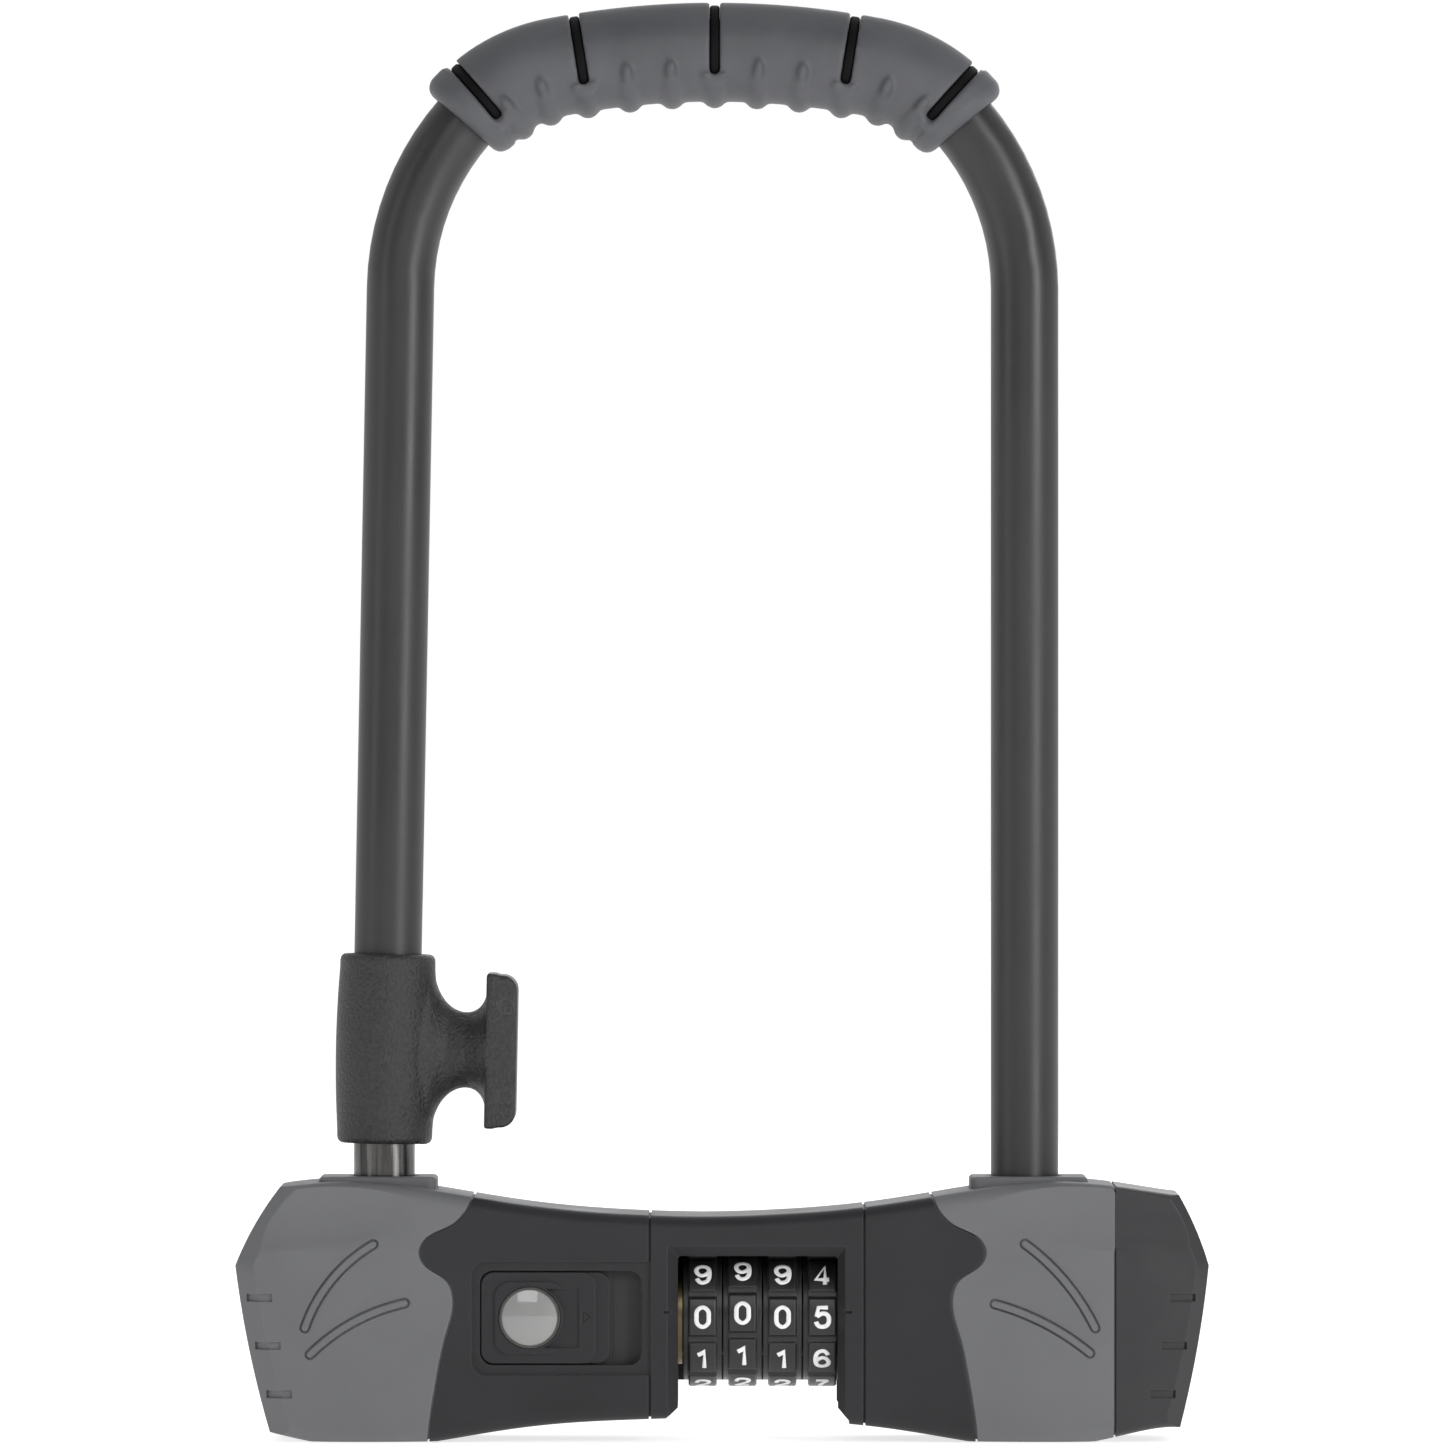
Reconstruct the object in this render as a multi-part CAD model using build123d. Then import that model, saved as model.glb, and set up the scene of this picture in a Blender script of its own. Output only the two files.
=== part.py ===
from build123d import *
import os
from math import cos, radians, sin, tan

# Combination U lock, in millimetres. X runs across the lock, Y from its front (-) to its back,
# Z up. The lock stands on its crossbar, and the origin is on the ground under its middle.

os.makedirs("parts", exist_ok=True)

# Shackle
rod_d = 13.0
coat_d = 14.3
left_x = -71.3
lean = 1.07               # the left leg leans in by this many degrees
kink_z = 58.0
kink_r = 300.0
foot_z = 14.0
shoulder_z = 243.6
shoulder_r = 54.8
shoulder_turn = 44.06
hip_r = 31.84
left_hip_turn = 33.98
right_hip_turn = 35.29
crown_r = 179.7
crown_turn = 180.0 - lean - 2 * shoulder_turn - left_hip_turn - right_hip_turn
notch_depth = 4.5
notch_height = 10.0

# Hand grip
grip_d = 21.0
grip_half = 57.2          # half its length along the rod
lip_d = 22.2
lip_length = 5.0
rib_pitch = 9.47
rib_reach = 1.3
slot_spots = [-50.8, -28.4, 0.0, 28.4, 50.8]
slot_width = 2.2
web_r = 9.9
slot_below = 5.0          # how far the slots reach past the middle of the rod

# Frame bracket on the left leg
barrel_z = 82.4
barrel_half = 20.1
barrel_end_r = 10.1
barrel_mid_r = 10.7
liner_r = 8.15
foot_plate_x = 21.1
foot_edge_x = 27.7
foot_half_z = 16.4
foot_half_y = 10.0
neck_half_y = 6.0

# Crossbar
mid_x = -3.9              # the waist's middle, half way between the legs
left_end = -102.4
right_end = 102.8
wall = 2.3
waist_top = 47.4
waist_bottom = 4.9
top_bow = 0.00175
bottom_bow = 0.0015
half_depth = 19.5
waist_depth = 18.2        # half the bar's depth at the dials
edge_r = 3.2
groove = 0.5
left_seam = -15.0
right_seam = 30.2
cap_seam = 82.9
bevel_from = 14.2
bevel_run = 6.0
guide_top = 55.5
guide_half_x = 12.4
guide_half_y = 11.0
left_guide_shift = -1.2
right_guide_shift = 0.75
scoop_r = 20.0
swoosh_width = 1.3
swoosh_moat = 0.45

# Screws
left_posts = [(-49.0, 41.4), (-19.6, 41.4), (-49.0, 10.8), (-19.6, 10.8)]
right_posts = [(36.6, 41.4), (36.6, 10.8)]
boss_r = 2.7
screw_r = 1.2
screw_depth = 12.0
screw_seat = 16.4
head_r = 2.2
set_screw_r = 2.0

# Lock core
axis_z = 26.1
tube_r = 8.6
tube_bore = 4.3
spring_bore = 6.5
running = 0.1
free = 0.3
throw = 4.5               # travel of the bolts
spindle_r = tube_bore - running
fin_r = 10.6
fin_width = 2.6
yoke_half_z = 4.4
yoke_window = rod_d / 2 + 0.4
yoke_half_y = 10.8
yoke_back = 10.8
yoke_front = 12.2
block_top = 44.0
left_block = (-85.0, -57.5)
right_block = (42.5, 81.5)
tube_ends = (-62.6, 47.6)
spindle_ends = (-52.0, 53.0)
spigot_r = 2.0
fin_lead = 1.4            # from a dial's middle to its fin, bolts drawn back
fin_thick = 1.4
flange_half = 0.8
gate_half = 2.4
spring_start = 24.6
collar_end = 31.6
drive_x = -24.0
drive_r = 1.8
drive_tip = -12.4

# Dials
dial_x = [-3.9 + 8.42 * i for i in range(4)]
dial_r = 15.2
dial_rim_r = 13.8
dial_bore = 12.4
dial_width = 8.1
dial_face = 6.0
digits = 10
dial_rest = [0.0, -3.3, 0.0, 0.0]
window_left = -9.1
window_right = 24.6
cheek_left = window_left
cheek_right = 26.3
window_top = 39.0
window_bevel = 2.2
hollow_top = 11.5         # underside of the casing below the dials

# Release slider
pocket = (-52.6, -15.9, 14.0, 37.9)
opening = (-50.8, -16.7, 16.1, 36.0)
slider_travel = 5.5
badge_x = -40.3
badge_r = 5.9
tray_front = -15.7
tray_floor = -14.2
tray_back = -13.0
stem = (-45.0, -41.0)
stem_tip = -9.5
lug_top = 34.0


from_start = (Align.CENTER, Align.CENTER, Align.MIN)


# ---------------------------------------------------------------- small tools


def block(x0, x1, y0, y1, z0, z1):
    """A box between two corners."""
    size = (x1 - x0, y1 - y0, z1 - z0)
    return Pos((x0 + x1) / 2, (y0 + y1) / 2, (z0 + z1) / 2) * Box(*size)


def rod_x(x0, x1, radius, y=0.0, z=axis_z):
    """A round bar along X."""
    return Pos((x0 + x1) / 2, y, z) * Rot(0, 90, 0) * Cylinder(radius, x1 - x0)


def rod_y(y0, y1, radius, x, z):
    """A round bar along Y."""
    return Pos(x, (y0 + y1) / 2, z) * Rot(90, 0, 0) * Cylinder(radius, y1 - y0)


def rod_z(z0, z1, radius, x, y=0.0):
    """A round bar along Z."""
    return Pos(x, y, (z0 + z1) / 2) * Cylinder(radius, z1 - z0)


def ring_x(x0, x1, outer, inner):
    """A ring round the dials' axis."""
    return rod_x(x0, x1, outer) - rod_x(x0 - 1, x1 + 1, inner)


def front_prism(sketch, y0, y1):
    """A sketch drawn as seen from the front, carried from depth y0 to depth y1."""
    return Pos(0, y1, 0) * extrude(Plane.XZ * sketch, y1 - y0)


def rounded(x0, x1, z0, z1, radius):
    """A rounded rectangle as seen from the front."""
    return Pos((x0 + x1) / 2, (z0 + z1) / 2) * RectangleRounded(x1 - x0, z1 - z0, radius)


def spring_x(x0, x1, radius, wire_r, turns, y, z):
    """A coil spring along X."""
    length = x1 - x0 - 2 * wire_r
    coil = Helix(length / turns, length, radius)
    section = Plane(coil @ 0, z_dir=coil % 0) * Circle(wire_r)
    return Pos(x0 + wire_r, y, z) * Rot(0, 90, 0) * sweep(section, path=coil, is_frenet=True)


def write(name, shape):
    export_step(shape, f"parts/{name}.step")


# ---------------------------------------------------------------- shackle


def rod_route():
    """The rod's middle line, from the left foot to the right foot, as a chain of tangent runs."""
    foot = Line((left_x, foot_z), (left_x, kink_z))
    kink = JernArc(foot @ 1, (0, 1), kink_r, -lean)
    rise = (shoulder_z - (kink @ 1).Y) / cos(radians(lean))
    leg = Line(kink @ 1, (kink @ 1) + (kink % 1) * rise)
    chain = [foot, kink, leg]
    bends = [
        (shoulder_r, shoulder_turn),
        (hip_r, left_hip_turn),
        (crown_r, crown_turn),
        (hip_r, right_hip_turn),
        (shoulder_r, shoulder_turn),
    ]
    for radius, turn in bends:
        last = chain[-1]
        chain.append(JernArc(last @ 1, last % 1, radius, -turn))
    end = chain[-1] @ 1
    chain.append(Line(end, (end.X, foot_z)))
    return Plane.XZ * Wire([piece.edge() for piece in chain])


route = rod_route()
right_x = (route @ 1).X
foot_run = kink_z - foot_z
kink_run = kink_r * radians(lean)
leg_run = (shoulder_z - kink_z - kink_r * sin(radians(lean))) / cos(radians(lean))
bend_run = shoulder_r * radians(shoulder_turn) + hip_r * radians(left_hip_turn)
apex = foot_run + kink_run + leg_run + bend_run
apex += crown_r * radians(90 - lean - shoulder_turn - left_hip_turn)


def stretch(start, end):
    """The part of the rod's line between two distances along it."""
    return route.trim(start / route.length, end / route.length)


def sleeve(start, end, outer):
    """A round bar that follows the rod."""
    path = stretch(start, end)
    return sweep(Plane(path @ 0, z_dir=path % 0) * Circle(outer), path=path)


def across(distance):
    """The plane of a cut across the rod: x along it, y outwards, z to the front."""
    spot = distance / route.length
    return Plane(route @ spot, x_dir=route % spot, z_dir=(0, -1, 0))


def make_shackle():
    """Hardened steel rod with a locking notch in the right-hand side of each foot."""
    rod = sleeve(0, route.length, rod_d / 2)
    ends = rod.faces().sort_by(Axis.Z)[:2]
    rod = chamfer(ends.edges(), 1.2)
    for x in (left_x, right_x):
        flat = x + rod_d / 2 - notch_depth
        rod -= block(flat, x + rod_d, -rod_d, rod_d, axis_z - notch_height / 2,
                     axis_z + notch_height / 2)
    return rod


def make_coating():
    """Vinyl tube shrunk on the rod, from inside the bracket to inside the right guide."""
    start, end = 66.0 - foot_z, route.length - (47.5 - foot_z)
    tube = sleeve(start, end, coat_d / 2)
    return tube - sleeve(start - 2, end + 2, rod_d / 2)


def make_grip():
    """Moulded rubber grip: ribs under the fingers, five slots and a lip at each end."""
    body = sleeve(apex - grip_half, apex + grip_half, grip_d / 2)
    for start in (apex - grip_half, apex + grip_half - lip_length):
        body += sleeve(start, start + lip_length, lip_d / 2)
    for i in range(-5, 6):
        plane = across(apex + i * rib_pitch)
        spot = plane.origin - plane.y_dir * rib_reach
        body += Plane(spot, z_dir=plane.x_dir) * Torus(8.0, 2.6)
    for spot in slot_spots:
        deep = 20.0
        cut = Pos(0, deep / 2 - slot_below, 0) * Box(slot_width, deep, 2 * grip_d)
        body -= across(apex + spot) * cut
    return body - sleeve(apex - grip_half - 5, apex + grip_half + 5, coat_d / 2)


def make_grip_webs():
    """Thin black webs, set a little below the grip's surface, that join it across its slots."""
    width = slot_width - 2 * 0.02
    bore = sleeve(apex - grip_half, apex + grip_half, coat_d / 2)
    webs = []
    for spot in slot_spots:
        disc = Rot(0, 90, 0) * Cylinder(web_r, width)
        disc = fillet(disc.edges().filter_by(GeomType.CIRCLE), 0.7)
        deep = 20.0
        disc &= Pos(0, deep / 2 - slot_below + 0.02, 0) * Box(4, deep, 2 * grip_d)
        webs.append(across(apex + spot) * disc - bore)
    return Compound(webs)


# ---------------------------------------------------------------- frame bracket


def leg_place(z):
    """Where the leaning left leg is at a height, turned to lie along it."""
    x = left_x + (z - kink_z - kink_r * radians(lean) / 2) * tan(radians(lean))
    return Location((x, 0, z), (0, lean, 0))


def make_bracket():
    """Nylon sleeve with a T-shaped foot that slides into a socket on the bicycle's frame."""
    side = Line((barrel_end_r, -barrel_half), (barrel_end_r, -barrel_half + 3))
    swell = ThreePointArc(side @ 1, (barrel_mid_r, 0), (barrel_end_r, barrel_half - 3))
    outline = [
        side,
        swell,
        Line(swell @ 1, (barrel_end_r, barrel_half)),
        Line((barrel_end_r, barrel_half), (0, barrel_half)),
        Line((0, barrel_half), (0, -barrel_half)),
        Line((0, -barrel_half), side @ 0),
    ]
    barrel = revolve(Plane.XZ * make_face(outline), Axis.Z)
    barrel = fillet(barrel.edges().group_by(Axis.Z)[0] + barrel.edges().group_by(Axis.Z)[-1], 1.4)
    sections = [(6.0, 19.0, 7.8), (9.3, 18.0, 7.4), (10.6, 13.6, 6.8), (12.9, 9.8, neck_half_y),
                (16.9, 8.0, neck_half_y), (19.6, 9.0, 7.2), (20.9, 11.3, 8.6), (22.0, 13.4, 9.4)]
    rings = [Plane((x, 0, 0), x_dir=(0, 1, 0), z_dir=(1, 0, 0)) * Ellipse(half_y, half_z)
             for x, half_z, half_y in sections]
    neck = loft(rings) & block(0, 40, -foot_half_y, foot_half_y, -barrel_half, barrel_half)
    flange = block(foot_plate_x, foot_plate_x + 2.1, -foot_half_y, foot_half_y, -foot_half_z,
                   foot_half_z)
    plate = block(foot_plate_x + 1, foot_edge_x, -foot_half_y, foot_half_y, 0.3 - foot_half_z,
                  foot_half_z - 0.3)
    plate = fillet(plate.faces().sort_by(Axis.X)[-1].edges().filter_by(Axis.Y), 3.2)
    plate = fillet(plate.faces().sort_by(Axis.X)[-1].edges(), 0.6)
    foot = flange + plate
    for z in (-9.5, 9.5):
        foot -= rod_y(-foot_half_y - 1, -foot_half_y + 0.2, 1.6, foot_plate_x + 4.4, z)
    bracket = barrel + neck + foot
    bracket -= rod_z(-40, 40, liner_r + running, 0)
    return leg_place(barrel_z) * bracket


def make_liner():
    """Split rubber bush between the coated leg and the bracket."""
    length = barrel_half - 0.6
    bush = rod_z(-length, length, liner_r, 0)
    bush -= rod_z(-40, 40, coat_d / 2 + running, 0)
    bush -= block(-20, 0, -0.8, 0.8, -40, 40)
    return leg_place(barrel_z) * bush


# ---------------------------------------------------------------- crossbar casing


def end_profile(shift):
    """Both pointed ends seen from the front, moved in by shift, as one closed outline."""
    low, high, point_z = -4.0, 60.0, 37.0
    left, right = left_end + shift, right_end - shift
    left_low, left_high = (left + 9.1, low), (left + 15.2, high)
    right_low, right_high = (right - 7.9, low), (right - 11.8, high)
    edges = [
        Line(left_low, right_low),
        ThreePointArc(right_low, (right - 2.7, 18.0), (right, point_z)),
        ThreePointArc((right, point_z), (right - 3.4, 46.2), right_high),
        Line(right_high, left_high),
        ThreePointArc(left_high, (left + 4.7, 46.6), (left, point_z)),
        ThreePointArc((left, point_z), (left + 3.2, 18.0), left_low),
    ]
    return make_face(edges)


def bar(inset):
    """The bar's solid, drawn in by inset all over: a lofted waist, cut to its pointed ends."""
    ends = {109: (52.2, -1.2, 16.4), 76: (54.6, -1.0, half_depth), 60: (53.4, -0.6, 19.0)}
    stations = []
    for run in (-109, -76, -60, -42, -21, 0, 21, 42, 60, 76, 109):
        top = waist_top + top_bow * run * run
        bottom = waist_bottom - bottom_bow * run * run
        top, bottom, deep = ends.get(abs(run), (top, bottom, waist_depth))
        plane = Plane((mid_x + run, 0, (top + bottom) / 2), x_dir=(0, 1, 0), z_dir=(1, 0, 0))
        radius = edge_r - 0.7 * inset
        size = RectangleRounded(2 * (deep - inset), top - bottom - 2 * inset, radius)
        stations.append(plane * size)
    waist = loft(stations) & block(-120, 120, -40, 40, max(inset, 0), 80)
    flat = bevel_from - inset * tan(radians(22.5))
    outer, inner = end_profile(inset), end_profile(inset + bevel_run)
    ends = front_prism(outer, -flat, flat)
    for side in (-1, 1):
        near = Pos(0, side * flat, 0) * (Plane.XZ * outer)
        far = Pos(0, side * (flat + bevel_run), 0) * (Plane.XZ * inner)
        ends += loft([near, far], ruled=True)
    return waist & ends


def boot_line(side):
    """The wavy edge of a boot, on the left (-1) or the right (1), as points from the top."""
    waves = [
        (47.6, 58.0), (48.3, 51.0), (52.6, 45.6), (58.0, 42.7), (59.3, 39.9), (58.0, 37.0),
        (53.6, 33.9), (52.2, 30.2), (53.7, 22.4), (55.6, 13.5), (57.6, -3.0),
    ]
    return [(mid_x + side * x, z) for x, z in waves]


def boot_region(side, shift=0.0):
    """All that lies outboard of a boot's wavy edge, moved outboard by shift."""
    points = [(x + side * shift, z) for x, z in boot_line(side)]
    edge = Spline(points)
    far = side * 130
    loop = [
        edge,
        Line(edge @ 1, (far, -3.0)),
        Line((far, -3.0), (far, 58.0)),
        Line((far, 58.0), edge @ 0),
    ]
    return front_prism(make_face(loop), -30, 30)


def seam(x):
    """A slab at a seam, as wide as the groove that shows there."""
    return block(x - groove / 2, x + groove / 2, -30, 30, -10, 70)


outer = bar(0)
inner = bar(wall)
skin = outer - inner
engraved = bar(0.5)       # what is left of the bar under a shallow cut
proud = bar(-0.45)        # the bar with its raised marks' height added


def guide_hole(leg, shift):
    """The square hole in a boot's top for the block round a leg."""
    x = leg + shift
    return block(x - guide_half_x, x + guide_half_x, -guide_half_y, guide_half_y, 40, 70)


def scoop(side):
    """A long shallow hollow across a boot's upper face, deepest at the bar's end."""
    cutter = None
    for face in (-1, 1):
        start = Vector(mid_x + side * 58.0, face * (19.4 + scoop_r), 50.2)
        end = Vector(mid_x + side * 106.0, face * (15.9 + scoop_r), 47.0)
        run = end - start
        bar_cut = Plane(start, z_dir=run) * Cylinder(scoop_r, run.length, align=from_start)
        cutter = bar_cut if cutter is None else cutter + bar_cut
    return cutter


def swoosh(points):
    """A curved bar with round ends, raised on the front and the back of a boot."""
    arc = ThreePointArc(*points)
    strip = front_prism(SlotArc(arc.edge(), swoosh_width), -30, 30)
    return (strip & proud) - inner


def moat(points):
    """The fine groove round a raised bar."""
    arc = ThreePointArc(*points)
    return front_prism(SlotArc(arc.edge(), swoosh_width + 2 * swoosh_moat), -30, 30) - engraved


def end_marks(side):
    """Three short rectangular marks cut into the end of the bar, front and back."""
    cuts = None
    for x, z in ((97.2, 30.3), (95.4, 20.2), (93.0, 10.0)):
        mark = block(side * x - 2.7, side * x + 2.7, -30, 30, z - 0.8, z + 0.8)
        cuts = mark if cuts is None else cuts + mark
    return cuts - engraved


def make_left_boot():
    """Grey rubber end of the casing, which takes the left leg."""
    boot = skin & boot_region(-1)
    boot -= boot_region(-1) - boot_region(-1, groove) - engraved
    boot -= guide_hole(left_x, left_guide_shift)
    for points in ([(-87.6, 24.0), (-81.9, 34.2), (-73.2, 41.6)],
                   [(-86.5, 18.4), (-77.4, 25.2), (-66.6, 29.2)]):
        boot = boot - moat(points) + swoosh(points)
    return boot - end_marks(-1) - scoop(-1)


def make_right_boot():
    """Grey rubber sleeve, which takes the right leg."""
    boot = skin & boot_region(1) & block(0, cap_seam, -40, 40, -10, 80)
    boot -= boot_region(1) - boot_region(1, groove) - engraved
    boot -= guide_hole(right_x, right_guide_shift)
    for points in ([(63.9, 41.7), (72.2, 34.0), (78.7, 24.0)],
                   [(57.6, 29.0), (68.4, 24.8), (77.6, 18.7)]):
        boot = boot - moat(points) + swoosh(points)
    return boot - scoop(1) - (seam(cap_seam) - engraved)


def make_end_cap():
    """Black cap closing the right end of the bar."""
    cap = skin & block(cap_seam, 130, -40, 40, -10, 80)
    return cap - (seam(cap_seam) - engraved) - end_marks(1) - scoop(1)


def half(shape, side):
    """The front (-1) or the back (1) of a shape."""
    near, far = sorted((0, side * 40))
    return shape & block(-130, 130, near, far, -10, 80)


def bosses(places, side):
    """Screw posts in one half of the casing."""
    near, far = sorted((0, side * (waist_depth - 1)))
    posts = None
    for x, z in places:
        post = rod_y(near, far, boss_r, x, z)
        posts = post if posts is None else posts + post
    return posts


def screw_holes(places, side):
    """Pilot holes in the front posts, clearance holes and head pockets in the back ones."""
    holes = None
    for x, z in places:
        if side < 0:
            hole = rod_y(-screw_depth, 1, screw_r, x, z)
        else:
            hole = rod_y(-1, 40, screw_r + 0.1, x, z) + rod_y(screw_seat, 40, head_r + 0.2, x, z)
        holes = hole if holes is None else holes + hole
    return holes


def make_left_cover(side):
    """Front or back half of the black casing beside the left boot."""
    shell = skin - boot_region(-1)
    shell &= block(-100, left_seam, -40, 40, -10, 80)
    shell = half(shell, side) - (seam(left_seam) - engraved)
    shell += bosses(left_posts, side) - (bosses(left_posts, side) - outer)
    shell -= screw_holes(left_posts, side)
    if side < 0:
        x0, x1, z0, z1 = pocket
        shell -= front_prism(rounded(x0, x1 + 8, z0, z1, 3.2), -30, -waist_depth + 0.7) & block(
            -60, left_seam - groove / 2, -40, 0, 0, 60)
        x0, x1, z0, z1 = opening
        shell -= front_prism(rounded(x0, x1, z0, z1, 2.8), -30, -10)
    return shell


def make_right_cover(side):
    """Front or back half of the black casing beside the right boot."""
    shell = (skin - boot_region(1)) & block(right_seam, 90, -40, 40, -10, 80)
    shell = half(shell, side) - (seam(right_seam) - engraved)
    shell += bosses(right_posts, side)
    return shell - screw_holes(right_posts, side)


def dial_hollow():
    """The open space for the dials: through the casing below them, with chamfered jaws."""
    chamfer_x, chamfer_z = 2.4, 2.2
    left, right = window_left, window_right
    low = 0.0
    corner = waist_bottom
    points = [
        (left - chamfer_x, low), (left - chamfer_x, corner), (left, corner + chamfer_z),
        (left, hollow_top), (right, hollow_top), (right, corner + chamfer_z),
        (right + chamfer_x, corner - 0.6), (right + chamfer_x, low),
    ]
    return front_prism(make_face(Polyline(points, close=True)), -40, 40)


def window():
    """The bevelled window in the bezel, open at its lower side."""
    outside = waist_depth + 0.6
    reach = window_bevel + 0.6
    through = rounded(window_left, window_right, -10, window_top, 0.8)
    hole = front_prism(through, -30, -8)
    back = make_face(Polyline([
        (window_left, -10), (window_right, -10), (window_right, window_top),
        (window_left, window_top)], close=True))
    front = make_face(Polyline([
        (window_left - reach, -10), (window_right + reach * 0.75, -10),
        (window_right + reach * 0.75, window_top + reach),
        (window_left - reach, window_top + reach)], close=True))
    front = Pos(0, -outside, 0) * (Plane.XZ * front)
    back = Pos(0, -outside + reach, 0) * (Plane.XZ * back)
    return hole + loft([front, back], ruled=True)


def cheeks(side):
    """The walls either side of the dials, in one half of the casing."""
    walls = block(cheek_left - 2, cheek_left, -40, 40, 0, 80)
    walls += block(cheek_right, cheek_right + 2, -40, 40, 0, 80)
    walls = (walls & inner) - rod_x(-60, 60, tube_r)
    return half(walls, side)


def make_dial_bezel():
    """Front of the casing round the dials."""
    shell = skin & block(left_seam, right_seam, -40, 40, -10, 80)
    shell = half(shell, -1) + cheeks(-1)
    shell = shell - dial_hollow() - window()
    for x in (window_left - 1.6, window_right + 1.6):
        shell -= block(x - 1.4, x + 1.4, -20, -17.4, axis_z + 0.9, axis_z + 1.4)
    return shell - ((seam(left_seam) + seam(right_seam)) - engraved)


def make_centre_rear_cover():
    """Back of the casing behind the dials."""
    shell = skin & block(left_seam, right_seam, -40, 40, -10, 80)
    shell = half(shell, 1) + cheeks(1)
    shell = shell - dial_hollow()
    return shell - ((seam(left_seam) + seam(right_seam)) - engraved)


def make_leg_guide(leg, shift, bore):
    """Rubber block that wipes the leg where it enters the bar."""
    x = leg + shift
    guide = block(x - guide_half_x, x + guide_half_x, -guide_half_y, guide_half_y, block_top,
                  guide_top)
    guide = fillet(guide.edges().filter_by(Axis.Z), 2.0)
    guide = fillet(guide.faces().sort_by(Axis.Z)[-1].edges(), 0.8)
    guide -= rod_z(0, 80, bore, leg)
    rim = guide.faces().sort_by(Axis.Z)[-1].edges().filter_by(GeomType.CIRCLE)
    rim = rim.sort_by(SortBy.RADIUS)[-1:]
    return chamfer(rim, 0.5)


# ---------------------------------------------------------------- lock core


def leg_bore(x):
    """The blind socket for a foot of the shackle."""
    return rod_z(foot_z - free, 80, rod_d / 2 + free, x)


def set_screw_hole(x):
    """The tapped hole that holds the tube in a lock block."""
    return rod_z(axis_z, 80, set_screw_r, x)


def make_left_lock_block():
    """Steel block with the left foot's socket and the left bolt's bore."""
    body = block(left_block[0], left_block[1], -13.5, 13.5, 6.5, block_top)
    body = chamfer(body.edges().filter_by(Axis.Y), 1.5)
    body -= leg_bore(left_x)
    body -= rod_x(left_x, left_block[1] + 1, tube_bore)
    body -= rod_x(tube_ends[0], left_block[1] + 1, tube_r)
    return body - set_screw_hole(tube_ends[0] + 2.6)


def make_right_lock_block():
    """Steel block with the right foot's socket and the pocket that the yoke slides in."""
    body = block(right_block[0], right_block[1], -13.5, 13.5, 6.5, block_top)
    body = chamfer(body.edges().filter_by(Axis.Y), 1.5)
    body -= leg_bore(right_x)
    z0, z1 = axis_z - yoke_half_z - free, axis_z + yoke_half_z + free
    x0 = right_x - yoke_back - throw - free
    x1 = right_x + yoke_front + free
    body -= block(x0, x1, -yoke_half_y - free, yoke_half_y + free, z0, z1)
    body -= rod_x(right_block[0] - 1, x0 + 1, tube_bore)
    body -= rod_x(right_block[0] - 1, tube_ends[1], tube_r)
    return body - set_screw_hole(tube_ends[1] - 2.4)


def make_core_tube():
    """Hardened tube between the lock blocks, which the dials turn on."""
    tube = rod_x(tube_ends[0], tube_ends[1], tube_r)
    tube -= rod_x(tube_ends[0] - 1, tube_ends[1] + 1, tube_bore)
    tube -= rod_x(spring_start, tube_ends[1] + 1, spring_bore)
    slot_half = fin_width / 2 + free
    first = dial_x[0] + fin_lead - throw - 0.8
    last = dial_x[-1] + fin_lead + fin_thick + 0.6
    tube -= block(first, last, -slot_half, slot_half, axis_z, 80)
    arm_half = drive_r + free
    tube -= block(drive_x - throw - drive_r - 0.5, drive_x + drive_r + 0.5, -40, 0,
                  axis_z - arm_half, axis_z + arm_half)
    return tube


def make_spring_seat():
    """Bush pressed into the tube's right end, which guides the spindle and holds the spring."""
    return ring_x(tube_ends[1] - 3, tube_ends[1], spring_bore, tube_bore)


def make_thrust_washers():
    """Two thin rings that keep the dials off the casing's walls."""
    half_pack = dial_width / 2 + 0.25
    left = ring_x(cheek_left, dial_x[0] - half_pack, tube_r + 1.9, tube_r)
    right = ring_x(dial_x[-1] + half_pack, cheek_right, tube_r + 1.9, tube_r)
    return Compound([left.solid(), right.solid()])


def make_detent_spring():
    """Spring-steel comb above the dials, with one finger for each dial."""
    z = axis_z + dial_r + 0.9
    strip = block(dial_x[0] - 3, dial_x[-1] + 3, 6.0, 12.5, z, z + 0.5)
    for x in dial_x:
        strip += block(x - 2.2, x + 2.2, -4, 6.5, z, z + 0.5)
        strip += Pos(x, 0, z + 0.4) * Rot(0, 90, 0) * Cylinder(0.9, 4.4)
    return strip


def make_spindle():
    """Sliding rod through the dials, with four fins and a collar for its spring."""
    rod = rod_x(spindle_ends[0], spindle_ends[1], spindle_r)
    for x in dial_x:
        start = x + fin_lead
        fin = rod_x(start, start + fin_thick, fin_r)
        rod += fin & block(start, start + fin_thick, -fin_width / 2, fin_width / 2, axis_z, 80)
    rod += rod_x(spring_start + throw + 0.6, collar_end, spring_bore - 0.3)
    rod -= rod_y(-20, -1, drive_r, drive_x, axis_z)
    rod -= rod_x(spindle_ends[0] - 1, spindle_ends[0] + 7, spigot_r)
    return rod - rod_x(spindle_ends[1] - 6, spindle_ends[1] + 1, spigot_r)


def make_left_bolt():
    """Hardened pin that enters the left leg's notch."""
    tip = left_x + rod_d / 2 + 0.5
    bolt = rod_x(tip, spindle_ends[0], spindle_r)
    bolt = chamfer(bolt.edges().sort_by(Axis.X)[0], 0.5)
    return bolt + rod_x(spindle_ends[0] - 0.5, spindle_ends[0] + 6, spigot_r)


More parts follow.
